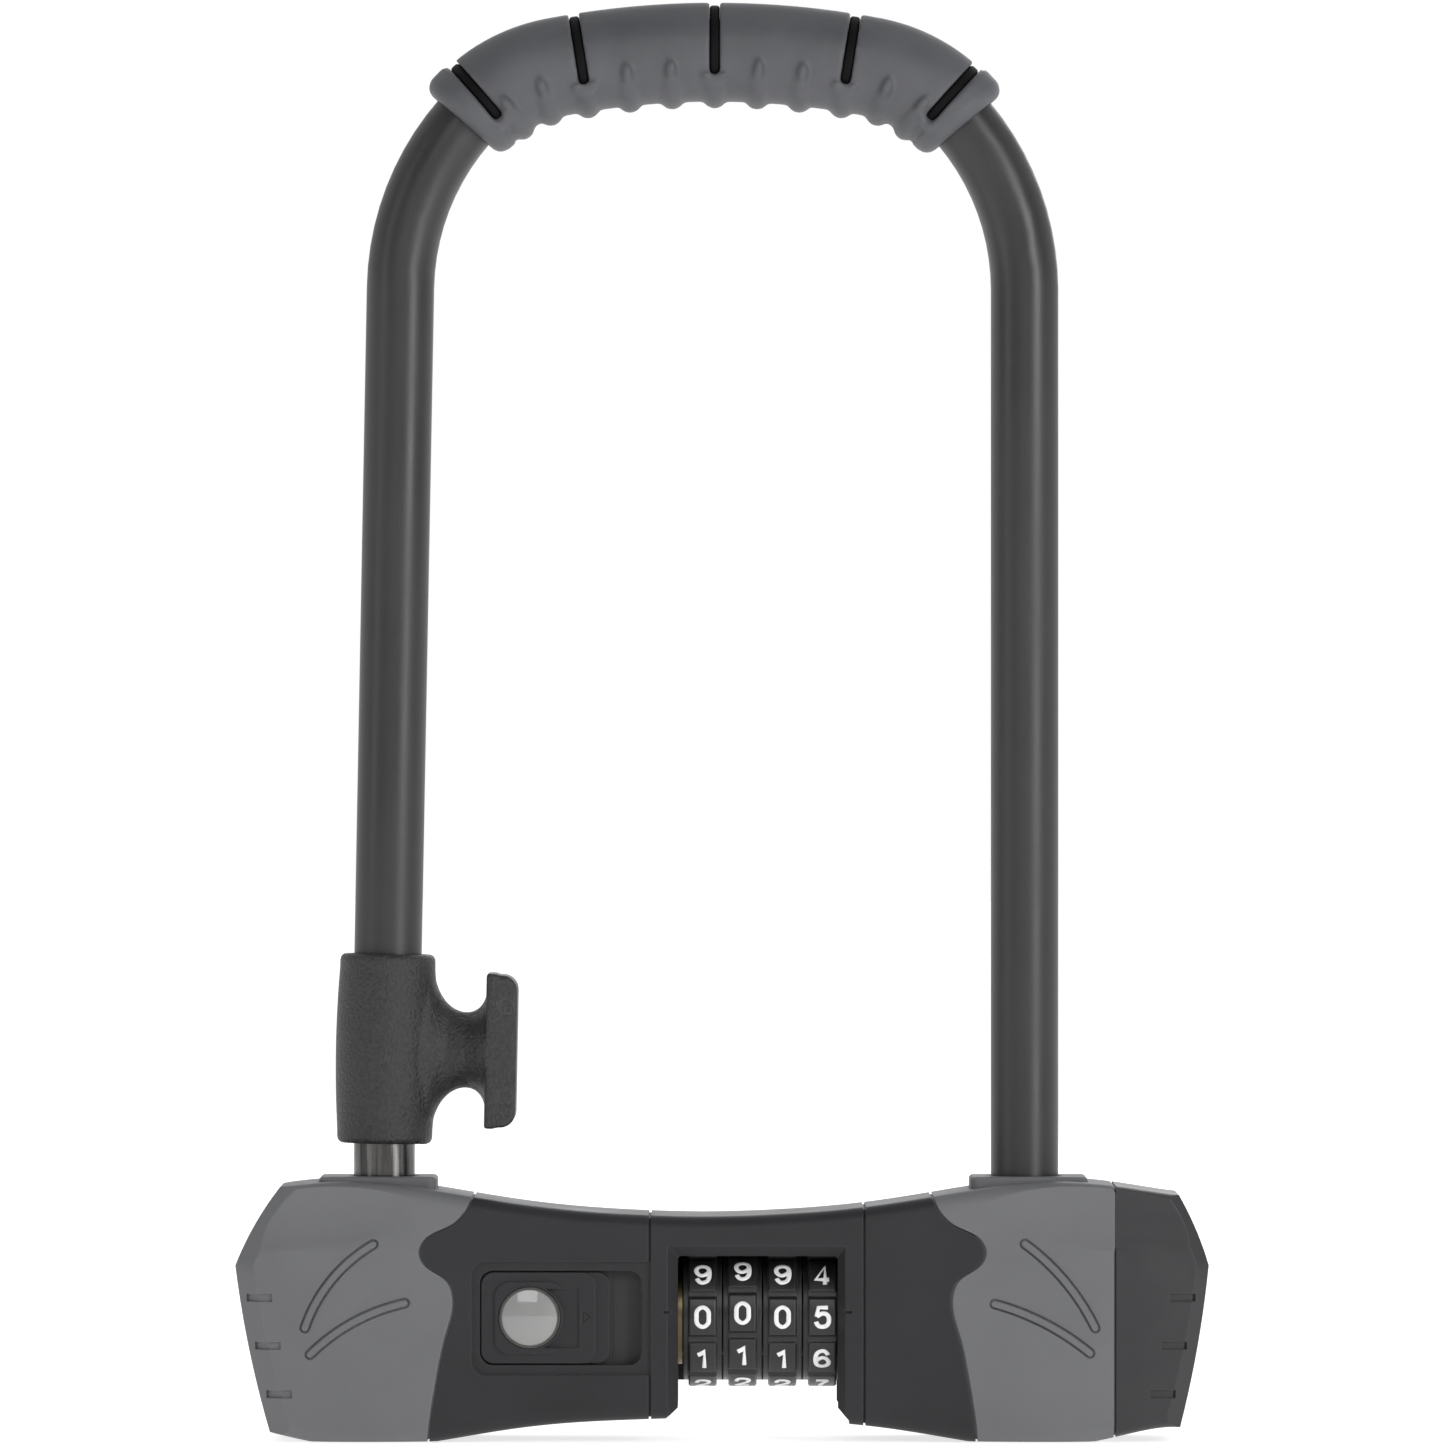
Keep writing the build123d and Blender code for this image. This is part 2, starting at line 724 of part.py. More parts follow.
def make_bolt_yoke():
    """Frame round the right leg: its far side is the bolt that enters the leg's notch."""
    x0, x1 = right_x - yoke_back, right_x + yoke_front
    yoke = block(x0, x1, -yoke_half_y, yoke_half_y, axis_z - yoke_half_z, axis_z + yoke_half_z)
    yoke = fillet(yoke.edges().filter_by(Axis.Z), 1.5)
    w = yoke_window
    yoke -= block(right_x - w, right_x + w, -w, w, 0, 60)
    return yoke + rod_x(spindle_ends[1] - 5.5, x0 + 0.5, spigot_r)


def make_drive_pin():
    """Pin that stands out of the spindle, pushed by the release slider's spring."""
    return rod_y(drive_tip, -1, drive_r, drive_x, axis_z)


def make_dial(index):
    """Ten-sided thumb dial with a low rim on both sides."""
    x = dial_x[index]
    dial = rod_x(x - dial_face / 2, x + dial_face / 2, dial_r)
    dial = chamfer(dial.edges().filter_by(GeomType.CIRCLE), 0.35)
    for i in range(digits):
        angle = radians(360 / digits * (i + 0.5) + dial_rest[index])
        y, z = 15.5 * cos(angle), axis_z + 15.5 * sin(angle)
        dial -= rod_x(x - 10, x + 10, 1.0, y, z)
    dial += rod_x(x - dial_width / 2, x + dial_width / 2, dial_rim_r)
    return dial - rod_x(x - 10, x + 10, dial_bore)


def make_code_sleeve(index):
    """Ring inside a dial: its gate lets a fin through at one number only."""
    x = dial_x[index]
    sleeve_half = dial_width / 2 - 0.05
    ring = ring_x(x - sleeve_half, x + sleeve_half, dial_bore, fin_r + 0.6)
    ring += ring_x(x - flange_half, x + flange_half, dial_bore - 0.4, tube_r + running)
    gate = block(x - 2, x + 2, -gate_half, gate_half, axis_z, axis_z + fin_r + 0.5)
    return ring - gate


# ---------------------------------------------------------------- release slider


def make_slider_tray():
    """Tray behind the opening that the release slider runs in."""
    x0, x1, z0, z1 = pocket
    tray = block(x0 - 0.9, x1 + 0.1, tray_front, tray_back, z0 - 0.2, z1 + 0.4)
    x0, x1, z0, z1 = opening
    tray -= block(x0 - 1.5, x1 - 0.3, -30, tray_floor, z0 - 1.1, z1 + 1.1)
    slot = block(stem[0] - 0.6, stem[1] + slider_travel + 0.6, -30, 0, axis_z - 3.1, axis_z + 3.1)
    lug = block(stem[0] - 0.6, stem[0] + 2 + slider_travel + 0.6, -30, 0, axis_z, lug_top + 0.5)
    post = block(x1 - 4, x1 - 2, tray_back - 0.2, -10.4, lug_top - 3, lug_top)
    return tray - slot - lug + post


def make_release_slider():
    """Thumb slider: stepped face, a pad round the badge, and a stem behind."""
    x0, x1, z0, z1 = opening
    x0, x1, z0, z1 = x0 + 0.35, -23.5, z0 + 0.4, z1 - 0.4
    face = -waist_depth
    body = block(x0 - 0.9, x1 + 0.6, face + wall + 0.4, tray_floor - 0.3, z0 - 0.9, z1 + 0.9)
    body += front_prism(rounded(x0, x1, z0, z1, 2.6), face + 1.3, tray_floor - 1)
    body += front_prism(rounded(x0, x1 - 3.0, z0, z1, 2.6), face + 0.6, tray_floor - 1)
    pad = front_prism(rounded(x0 + 2.9, -33.2, z0 + 2.0, z1 - 2.0, 3.0), face, face + 1)
    body += pad
    thumb = rounded(-37.5, -29.9, z0 + 3.2, z1 - 3.4, 0.6)
    body -= front_prism(thumb, -30, face + 1.0) - rod_y(-30, 0, badge_r + 1.0, badge_x, axis_z)
    arrow = make_face(Polyline([(-29.2, 24.9), (-29.2, 27.7), (-27.4, 26.3)], close=True))
    line = offset(arrow, -0.28)
    body -= front_prism(arrow - line, -30, face + 0.8)
    body -= rod_y(-30, face + 0.6, badge_r + 0.55, badge_x, axis_z)
    stem_block = block(stem[0], stem[1], tray_floor - 1, stem_tip, axis_z - 2.5, axis_z + 2.5)
    lug = block(stem[0], stem[0] + 2, tray_floor - 1, stem_tip - 1.5, axis_z + 2, lug_top)
    return body + stem_block + lug


def make_badge_ring():
    """Thin bright ring round the badge."""
    ring = rod_y(-waist_depth - 0.35, -waist_depth + 0.6, badge_r + 0.5, badge_x, axis_z)
    return ring - rod_y(-40, 0, badge_r, badge_x, axis_z)


def make_badge_dome():
    """Plain domed badge."""
    top, ball_r = -waist_depth - 1.05, 20.0
    disc = rod_y(top - 1, -waist_depth + 0.6, badge_r, badge_x, axis_z)
    return disc & (Pos(badge_x, top + ball_r, axis_z) * Sphere(ball_r))


# ---------------------------------------------------------------- springs and fasteners


def make_bolt_spring():
    """Spring round the spindle that throws the bolts."""
    return spring_x(collar_end + 0.1, tube_ends[1] - 3.1, 5.5, 0.55, 6, 0, axis_z)


def make_link_spring():
    """Spring between the slider's stem and the drive pin."""
    start, end = stem[1] + 0.1, drive_x - drive_r - 0.1
    return spring_x(start, end, 1.35, 0.25, 9, stem_tip - 1.8, axis_z)


def make_slider_spring():
    """Spring that returns the release slider."""
    start, end = stem[0] + 2.1, opening[1] - 4.1
    return spring_x(start, end, 1.1, 0.2, 14, -11.5, lug_top - 1.5)


def make_set_screws():
    """Socket set screws that hold the tube in the lock blocks."""
    screws = []
    for x in (tube_ends[0] + 2.6, tube_ends[1] - 2.4):
        screw = rod_z(axis_z + tube_r, block_top - 1.5, set_screw_r, x)
        socket = extrude(RegularPolygon(1.1, 6), 2)
        screw -= Pos(x, 0, block_top - 3.5) * socket
        screws.append(screw.solid())
    return Compound(screws)


def make_cover_screws():
    """Cross-head screws that hold the back covers to the front ones."""
    screws = []
    for x, z in left_posts + right_posts:
        screw = rod_y(-screw_depth + 1, screw_seat, screw_r, x, z)
        head = rod_y(screw_seat, screw_seat + 1.3, head_r, x, z)
        head = fillet(head.edges().sort_by(Axis.Y)[-1], 0.5)
        for size in ((2.6, 0.5), (0.5, 2.6)):
            head -= Pos(x, screw_seat + 1.2, z) * Box(size[0], 1.6, size[1])
        screws.append((screw + head).solid())
    return Compound(screws)


pieces = {
    "shackle": make_shackle(),
    "shackle_coating": make_coating(),
    "shackle_grip": make_grip(),
    "grip_webs": make_grip_webs(),
    "bracket_sleeve": make_bracket(),
    "bracket_liner": make_liner(),
    "left_boot": make_left_boot(),
    "right_boot": make_right_boot(),
    "end_cap": make_end_cap(),
    "left_front_cover": make_left_cover(-1),
    "left_rear_cover": make_left_cover(1),
    "dial_bezel": make_dial_bezel(),
    "centre_rear_cover": make_centre_rear_cover(),
    "right_front_cover": make_right_cover(-1),
    "right_rear_cover": make_right_cover(1),
    "left_leg_guide": make_leg_guide(left_x, left_guide_shift, rod_d / 2 + 0.4),
    "right_leg_guide": make_leg_guide(right_x, right_guide_shift, coat_d / 2 + 0.4),
    "left_lock_block": make_left_lock_block(),
    "right_lock_block": make_right_lock_block(),
    "core_tube": make_core_tube(),
    "spring_seat": make_spring_seat(),
    "thrust_washers": make_thrust_washers(),
    "detent_spring": make_detent_spring(),
    "spindle": make_spindle(),
    "left_bolt": make_left_bolt(),
    "bolt_yoke": make_bolt_yoke(),
    "drive_pin": make_drive_pin(),
    "slider_tray": make_slider_tray(),
    "release_slider": make_release_slider(),
    "badge_ring": make_badge_ring(),
    "badge_dome": make_badge_dome(),
    "bolt_spring": make_bolt_spring(),
    "link_spring": make_link_spring(),
    "slider_spring": make_slider_spring(),
    "set_screws": make_set_screws(),
    "cover_screws": make_cover_screws(),
}
for i in range(len(dial_x)):
    pieces[f"dial_{i + 1}"] = make_dial(i)
    pieces[f"code_sleeve_{i + 1}"] = make_code_sleeve(i)

for name, shape in pieces.items():
    write(name, shape)
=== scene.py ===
import bpy
from math import asin, cos, radians, sin
from mathutils import Matrix, Vector


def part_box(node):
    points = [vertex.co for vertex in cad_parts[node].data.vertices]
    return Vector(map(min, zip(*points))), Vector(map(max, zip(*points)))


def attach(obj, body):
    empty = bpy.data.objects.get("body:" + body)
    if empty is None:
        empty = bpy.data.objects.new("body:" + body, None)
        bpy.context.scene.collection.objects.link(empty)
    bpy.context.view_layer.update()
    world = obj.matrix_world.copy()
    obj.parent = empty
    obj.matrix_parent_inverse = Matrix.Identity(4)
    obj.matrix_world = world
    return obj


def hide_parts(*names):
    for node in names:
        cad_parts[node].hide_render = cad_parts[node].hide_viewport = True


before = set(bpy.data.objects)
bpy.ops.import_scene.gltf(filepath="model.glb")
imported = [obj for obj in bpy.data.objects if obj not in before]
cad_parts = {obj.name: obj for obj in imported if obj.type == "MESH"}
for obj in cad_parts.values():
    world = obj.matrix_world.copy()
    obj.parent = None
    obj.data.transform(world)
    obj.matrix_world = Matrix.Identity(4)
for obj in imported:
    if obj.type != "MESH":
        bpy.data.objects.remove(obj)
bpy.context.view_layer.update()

mm = 0.001

# ------------------------------------------------------------------ studio
# A level camera in front of the lock, far enough off that its sides hardly show.
# Pale floor, white room, a tall soft box on the right and a long one on the left.
bpy.context.scene.view_settings.view_transform = "Standard"
eye_back, eye_up, eye_across = 3.0, 0.1514, 0.0003
view_width = 0.3060
eye = bpy.data.objects.new("eye", bpy.data.cameras.new("eye"))
bpy.context.collection.objects.link(eye)
eye.location = (eye_across, -eye_back, eye_up)
eye.rotation_euler = (radians(90), 0, 0)
eye.data.sensor_width = 36
eye.data.lens = 36 * eye_back / view_width
eye.data.clip_start, eye.data.clip_end = 0.05, 100
bpy.context.scene.camera = eye

room = bpy.data.worlds.new("white_room")
bpy.context.scene.world = room
room.use_nodes = True
nodes, links = room.node_tree.nodes, room.node_tree.links
nodes.clear()
seen = nodes.new("ShaderNodeBackground")
seen.inputs["Color"].default_value = (1, 1, 1, 1)
seen.inputs["Strength"].default_value = 1.0
lit = nodes.new("ShaderNodeBackground")
lit.inputs["Color"].default_value = (0.97, 0.98, 1, 1)
way = nodes.new("ShaderNodeTexCoord")
split = nodes.new("ShaderNodeSeparateXYZ")
front_to_back = nodes.new("ShaderNodeMapRange")
front_to_back.interpolation_type = "SMOOTHSTEP"
front_to_back.inputs["From Min"].default_value = -0.45
front_to_back.inputs["From Max"].default_value = 0.25
front_to_back.inputs["To Min"].default_value = 0.16
front_to_back.inputs["To Max"].default_value = 0.80
links.new(way.outputs["Generated"], split.inputs[0])
links.new(split.outputs["Y"], front_to_back.inputs["Value"])
links.new(front_to_back.outputs["Result"], lit.inputs["Strength"])
which = nodes.new("ShaderNodeLightPath")
either = nodes.new("ShaderNodeMixShader")
output = nodes.new("ShaderNodeOutputWorld")
links.new(which.outputs["Is Camera Ray"], either.inputs[0])
links.new(lit.outputs[0], either.inputs[1])
links.new(seen.outputs[0], either.inputs[2])
links.new(either.outputs[0], output.inputs["Surface"])

soft_boxes = [
    # name, place, width, height, watts
    ("right_box", (1.05, -1.15, 0.30), 0.42, 1.6, 17.0),
    ("left_box", (-1.35, -0.75, 0.35), 0.30, 1.5, 3.0),
    ("front_fill", (-0.2, -2.6, 1.3), 1.2, 0.9, 13.0),
    ("back_box", (0.4, 1.9, 0.9), 1.4, 1.2, 8.0),
]
for name, place, width, height, watts in soft_boxes:
    lamp = bpy.data.lights.new(name, "AREA")
    lamp.shape = "RECTANGLE"
    lamp.size, lamp.size_y, lamp.energy = width, height, watts
    box = bpy.data.objects.new(name, lamp)
    bpy.context.collection.objects.link(box)
    box.location = place
    aim = Vector((0, 0, 0.15)) - Vector(place)
    box.rotation_euler = aim.to_track_quat("-Z", "Y").to_euler()

bpy.ops.object.select_all(action="DESELECT")
bpy.ops.mesh.primitive_circle_add(vertices=96, radius=9, fill_type="NGON", location=(0, 0, -0.0002))
floor = bpy.context.object
floor.name = "floor"
paper = bpy.data.materials.new("white_paper")
paper.use_nodes = True
paper_shader = paper.node_tree.nodes["Principled BSDF"]
paper_shader.inputs["Base Color"].default_value = (0.75, 0.75, 0.75, 1)
paper_shader.inputs["Roughness"].default_value = 0.9
paper_shader.inputs["Specular IOR Level"].default_value = 0.1
paper_shader.inputs["Emission Color"].default_value = (1, 1, 1, 1)
paper_shader.inputs["Emission Strength"].default_value = 0.72
floor.data.materials.append(paper)

# ------------------------------------------------------------------ shackle rod
# 13 mm hardened steel, drawn and left bright: long fine streaks run with the rod, and
# dark oil and scale stay in some of them. Bent to its shape, one notch milled in each foot.


def finish(name, pale, dark, rough, rough_more, grain, height, blotch=90.0, stretch=(1, 1, 1),
           metal=0.0, edge=0.0, edge_wear_and_highlight=None, specular=0.5):
    """A made surface: two close colours in soft patches, a fine grain, and edges painted paler, partly
    for wear and partly as a painted highlight.
    """
    made = bpy.data.materials.new(name)
    made.use_nodes = True
    nodes, links = made.node_tree.nodes, made.node_tree.links
    shader = nodes["Principled BSDF"]
    shader.inputs["Metallic"].default_value = metal
    shader.inputs["Specular IOR Level"].default_value = specular
    place = nodes.new("ShaderNodeTexCoord")
    turn = nodes.new("ShaderNodeMapping")
    turn.inputs["Scale"].default_value = stretch
    links.new(place.outputs["Object"], turn.inputs["Vector"])
    patches = nodes.new("ShaderNodeTexNoise")
    patches.inputs["Scale"].default_value = blotch
    patches.inputs["Detail"].default_value = 5
    patches.inputs["Roughness"].default_value = 0.6
    links.new(turn.outputs[0], patches.inputs["Vector"])
    spread = nodes.new("ShaderNodeMapRange")
    spread.inputs["From Min"].default_value = 0.32
    spread.inputs["From Max"].default_value = 0.68
    links.new(patches.outputs["Fac"], spread.inputs["Value"])
    tone = nodes.new("ShaderNodeMix")
    tone.data_type = "RGBA"
    tone.inputs["A"].default_value = (*dark, 1)
    tone.inputs["B"].default_value = (*pale, 1)
    links.new(spread.outputs["Result"], tone.inputs["Factor"])
    colour = tone.outputs["Result"]
    shine = nodes.new("ShaderNodeMapRange")
    shine.inputs["To Min"].default_value = rough
    shine.inputs["To Max"].default_value = rough_more
    links.new(spread.outputs["Result"], shine.inputs["Value"])
    links.new(shine.outputs["Result"], shader.inputs["Roughness"])
    grains = nodes.new("ShaderNodeTexNoise")
    grains.inputs["Scale"].default_value = grain
    grains.inputs["Detail"].default_value = 3
    links.new(turn.outputs[0], grains.inputs["Vector"])
    bump = nodes.new("ShaderNodeBump")
    bump.inputs["Strength"].default_value = 1.0
    bump.inputs["Distance"].default_value = height
    links.new(grains.outputs["Fac"], bump.inputs["Height"])
    if edge:
        soft = nodes.new("ShaderNodeBevel")
        soft.samples = 4
        soft.inputs["Radius"].default_value = edge
        links.new(soft.outputs[0], bump.inputs["Normal"])
        # edges painted paler than the faces: partly wear, partly a painted highlight along every rounded
        # edge
        if edge_wear_and_highlight:
            flat = nodes.new("ShaderNodeNewGeometry")
            near = nodes.new("ShaderNodeVectorMath")
            near.operation = "DOT_PRODUCT"
            links.new(soft.outputs[0], near.inputs[0])
            links.new(flat.outputs["Normal"], near.inputs[1])
            wear_and_highlight_mask = nodes.new("ShaderNodeMapRange")
            wear_and_highlight_mask.inputs["From Min"].default_value = 0.995
            wear_and_highlight_mask.inputs["From Max"].default_value = 0.90
            links.new(near.outputs["Value"], wear_and_highlight_mask.inputs["Value"])
            wear_and_highlight_paint = nodes.new("ShaderNodeMix")
            wear_and_highlight_paint.data_type = "RGBA"
            wear_and_highlight_paint.inputs["B"].default_value = (*edge_wear_and_highlight, 1)
            links.new(wear_and_highlight_mask.outputs["Result"], wear_and_highlight_paint.inputs["Factor"])
            links.new(colour, wear_and_highlight_paint.inputs["A"])
            colour = wear_and_highlight_paint.outputs["Result"]
    links.new(colour, shader.inputs["Base Color"])
    links.new(bump.outputs["Normal"], shader.inputs["Normal"])
    return made


def only(piece):
    """Select this piece alone, and make it the active one."""
    bpy.ops.object.select_all(action="DESELECT")
    bpy.context.view_layer.objects.active = piece
    piece.select_set(True)


def shaped(piece, kind, **settings):
    """Put a modifier on the active piece and apply it."""
    bpy.ops.object.modifier_add(type=kind)
    for setting, value in settings.items():
        setattr(piece.modifiers[-1], setting, value)
    bpy.ops.object.modifier_apply(modifier=piece.modifiers[-1].name)


def merged(node, name):
    """The piece's own mesh, joined up from the frame's loose triangles."""
    piece = bpy.data.objects.new(name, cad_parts[node].data.copy())
    bpy.context.collection.objects.link(piece)
    only(piece)
    bpy.ops.object.mode_set(mode="EDIT")
    bpy.ops.mesh.select_all(action="SELECT")
    bpy.ops.mesh.remove_doubles(threshold=0.002 * mm)
    bpy.ops.object.mode_set(mode="OBJECT")
    bpy.ops.mesh.customdata_custom_splitnormals_clear()
    piece.data.materials.clear()
    return piece


def smoothed(piece, degrees):
    """Smooth shading up to an angle, with the large faces kept flat."""
    only(piece)
    bpy.ops.object.shade_smooth_by_angle(angle=radians(degrees))
    shaped(piece, "WEIGHTED_NORMAL", keep_sharp=True, weight=90)


def placed(piece, surface, body, node):
    """Give a piece its surface and its body, and let it stand for its node."""
    piece.data.materials.append(surface)
    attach(piece, body)
    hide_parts(node)


soft_edge = 32


def fitted(node, name, surface, body, degrees=soft_edge):
    """A node's own shape, merged, smooth-shaded and placed."""
    piece = merged(node, name)
    smoothed(piece, degrees)
    placed(piece, surface, body, node)


bright_steel = finish("drawn_steel", (0.165, 0.161, 0.157), (0.012, 0.0117, 0.0113), 0.16, 0.30,
                      1400, 0.00003, blotch=520, stretch=(1, 1, 0.03), metal=1.0)
fitted("shackle", "rod", bright_steel, "shackle")

# ------------------------------------------------------------------ rod coating
# Black vinyl tube shrunk on the rod against scratches. Satin, slightly wavy along its length,
# with a few paler rubs from handling.
vinyl = finish("satin_vinyl", (0.024, 0.024, 0.025), (0.016, 0.016, 0.017), 0.34, 0.46, 2600, 0.000012,
               blotch=55, stretch=(1, 1, 0.35))
fitted("shackle_coating", "vinyl_tube", vinyl, "shackle")

# ------------------------------------------------------------------ grip
# Soft grey rubber, moulded in one piece and slid on the rod. Ribs under the fingers, five cuts
# that let it bend, a bead at each end, small pips on the ribs and a raised lip under each cut.
crown_radius, hip_radius, shoulder_radius = 179.7 * mm, 31.84 * mm, 54.8 * mm
top_x, top_z = -1.36 * mm, 293.35 * mm
grip_reach = 57.2 * mm
grip_radius = 10.5 * mm
rib_pitch = 9.47 * mm
cuts = (-50.8, -28.4, 0, 28.4, 50.8)
pip_below, lip_below = 4.0 * mm, 4.6 * mm      # how far they sit below the rod's middle
bead_radius, bead_swell, bead_run = 8.6 * mm, 2.5 * mm, 3.4 * mm


def rod_place(reach):
    """The rod's middle at a distance from its top, and how far it has turned down there."""
    side = 1 if reach >= 0 else -1
    bends = ((crown_radius, 10.65), (hip_radius, 35.29), (shoulder_radius, 44.06))
    if side < 0:
        bends = ((crown_radius, 10.89), (hip_radius, 33.98), (shoulder_radius, 44.06))
    x, z, turned, left = top_x, top_z, 0.0, abs(reach)
    for radius, most in bends:
        more = min(radians(most), left / radius)
        x += side * radius * (sin(turned + more) - sin(turned))
        z -= radius * (cos(turned) - cos(turned + more))
        turned += more
        left -= more * radius
    return x, z, side * turned


grip = merged("shackle_grip", "grip")
pips = []
for i in (-5, -4, -2, -1, 1, 2, 4, 5):
    x, z, turned = rod_place(i * rib_pitch)
    for front in (-1, 1):
        bpy.ops.object.select_all(action="DESELECT")
        bpy.ops.mesh.primitive_uv_sphere_add(segments=16, ring_count=10, radius=1.0)
        pip = bpy.context.object
        lean_in = asin(pip_below / grip_radius)
        shape = Matrix.Diagonal((1.25 * mm, 1.7 * mm, 2.5 * mm, 1))
        out = Matrix.Translation((0, front * (grip_radius - 0.1 * mm), 0))
        roll = Matrix.Rotation(-front * lean_in, 4, "X")
        yaw = Matrix.Rotation(turned, 4, "Y")
        pip.data.transform(Matrix.Translation((x, 0, z)) @ yaw @ roll @ out @ shape)
        pips.append(pip)
for cut in cuts:
    x, z, turned = rod_place(cut * mm)
    for front in (-1, 1):
        bpy.ops.object.select_all(action="DESELECT")
        bpy.ops.mesh.primitive_torus_add(major_segments=32, minor_segments=10, major_radius=1.95 * mm,
                                         minor_radius=0.95 * mm)
        lip = bpy.context.object
        bpy.ops.object.mode_set(mode="EDIT")
        bpy.ops.mesh.select_all(action="SELECT")
        bpy.ops.mesh.bisect(plane_co=(0, 0, 0), plane_no=(0, 1, 0), use_fill=True, clear_outer=True)
        bpy.ops.object.mode_set(mode="OBJECT")
        stand = Matrix.Rotation(radians(90), 4, "X")
        lean_in = asin(lip_below / grip_radius)
        out = Matrix.Translation((0, front * (grip_radius + 0.1 * mm), 0))
        roll = Matrix.Rotation(-front * lean_in, 4, "X")
        yaw = Matrix.Rotation(turned, 4, "Y")
        lip.data.transform(Matrix.Translation((x, 0, z)) @ yaw @ roll @ out @ stand)
        pips.append(lip)
bpy.ops.object.select_all(action="DESELECT")
for pip in pips:
    pip.select_set(True)
grip.select_set(True)
bpy.context.view_layer.objects.active = grip
bpy.ops.object.join()
shaped(grip, "REMESH", mode="VOXEL", voxel_size=0.5 * mm)
for side in (-1, 1):
    x, z, turned = rod_place(side * grip_reach)
    along = Vector((side * cos(turned), 0, -abs(sin(turned))))
    end = Vector((x, 0, z))
    for corner in grip.data.vertices:
        inward = -(corner.co - end).dot(along)
        if inward > bead_run or (corner.co - end).length > 20 * mm:
            continue
        middle = end - along * inward
        arm = corner.co - middle
        share = max(0.0, 1 - max(inward, 0.0) / bead_run)
        most = bead_radius + bead_swell * (1 - share ** 2.0) ** 0.5
        if arm.length > most:
            corner.co = middle + arm * (most / arm.length)
shaped(grip, "SMOOTH", factor=0.5, iterations=3)
bpy.ops.object.shade_smooth()
grip_rubber = finish("grip_rubber", (0.088, 0.089, 0.096), (0.068, 0.069, 0.075), 0.46, 0.60, 3000,
                     0.00003, blotch=75, specular=0.4)
placed(grip, grip_rubber, "shackle", "shackle_grip")
# the webs in the cuts are black, painted far darker than the black vinyl: partly painted shade for the
# narrow cuts
web_black_and_shade = finish("web_black_and_shade", (0.004, 0.004, 0.0045), (0.002, 0.002, 0.0025), 0.60, 0.72, 2600,
                   0.00002, blotch=200, specular=0.12)
fitted("grip_webs", "cut_webs", web_black_and_shade, "shackle", 40)

# ------------------------------------------------------------------ frame bracket
# Glass-filled nylon, moulded with a spark-eroded grain, and clamped round the leg on a split
# bush. Its T-shaped foot slides in a clip on the bicycle's frame. The neck swells out to the
# foot's full depth, and the pins that push the foot out of its mould leave two small rings.
nylon = finish("grained_nylon", (0.030, 0.030, 0.031), (0.010, 0.010, 0.011), 0.40, 0.58, 1500, 0.0004,
               blotch=1100, edge=0.0006, edge_wear_and_highlight=(0.06, 0.06, 0.06))
bracket = merged("bracket_sleeve", "frame_bracket")
leg_lean = radians(1.07)
sleeve_middle = (-70.897 * mm, 0, 82.4 * mm)
sleeve_place = Matrix.Translation(sleeve_middle) @ Matrix.Rotation(leg_lean, 4, "Y")
# out from the leg, half the height, half the depth
neck_rings = ((12.9, 8.8, 6.2), (16.9, 7.4, 7.2), (19.6, 8.4, 9.1), (21.0, 10.6, 9.85),
              (22.0, 12.6, 9.95))
pin_out, foot_face, pin_heights = 25.5 * mm, -10.0 * mm, (-9.5 * mm, 9.5 * mm)
bpy.ops.object.select_all(action="DESELECT")
bpy.ops.mesh.primitive_cylinder_add(vertices=48, radius=1.0, depth=4.0)
flare = bpy.context.object
bpy.ops.object.mode_set(mode="EDIT")
for i in (-1, 0, 1):
    bpy.ops.mesh.select_all(action="SELECT")
    bpy.ops.mesh.bisect(plane_co=(0, 0, i), plane_no=(0, 0, 1))
bpy.ops.object.mode_set(mode="OBJECT")
for corner in flare.data.vertices:
    out, half_high, half_deep = neck_rings[round(corner.co.z) + 2]
    corner.co = (out * mm, corner.co.y * half_deep * mm, -corner.co.x * half_high * mm)
flare.data.transform(sleeve_place)
bracket.select_set(True)
bpy.context.view_layer.objects.active = bracket
bpy.ops.object.join()
shaped(bracket, "REMESH", mode="VOXEL", voxel_size=0.42 * mm)
shaped(bracket, "SMOOTH", factor=0.5, iterations=4)
for height in pin_heights:
    bpy.ops.object.select_all(action="DESELECT")
    bpy.ops.mesh.primitive_torus_add(major_segments=40, minor_segments=8, major_radius=1.6 * mm,
                                     minor_radius=0.17 * mm)
    pin_ring = bpy.context.object
    on_foot = Matrix.Translation((pin_out, foot_face, height))
    pin_ring.data.transform(sleeve_place @ on_foot @ Matrix.Rotation(radians(90), 4, "X"))
    only(bracket)
    shaped(bracket, "BOOLEAN", operation="DIFFERENCE", solver="EXACT", object=pin_ring)
    bpy.data.objects.remove(pin_ring)
bpy.ops.object.shade_smooth()
placed(bracket, nylon, "bracket", "bracket_sleeve")

# ------------------------------------------------------------------ boots
# Mid-grey soft plastic moulded over both ends of the casing, with a fine matt grain. The raised
# bars, the end marks, the scooped top and the wavy edge are in the moulding.
boot_grey = finish("soft_boot", (0.142, 0.143, 0.150), (0.126, 0.127, 0.133), 0.50, 0.62, 4200, 0.00001,
                   blotch=36, edge=0.0005, edge_wear_and_highlight=(0.18, 0.18, 0.19), specular=0.3)
for node, name in (("left_boot", "left_end_boot"), ("right_boot", "right_end_boot")):
    fitted(node, name, boot_grey, "crossbar")

# ------------------------------------------------------------------ leg guides
# Grey rubber blocks that wipe each leg and keep water out, held between the casing halves.
guide_grey = finish("guide_rubber", (0.150, 0.151, 0.157), (0.130, 0.131, 0.136), 0.5, 0.62, 3600,
                    0.00001, blotch=60, edge=0.0004, edge_wear_and_highlight=(0.19, 0.19, 0.20), specular=0.3)
for node, name in (("left_leg_guide", "left_wiper"), ("right_leg_guide", "right_wiper")):
    fitted(node, name, guide_grey, "crossbar")
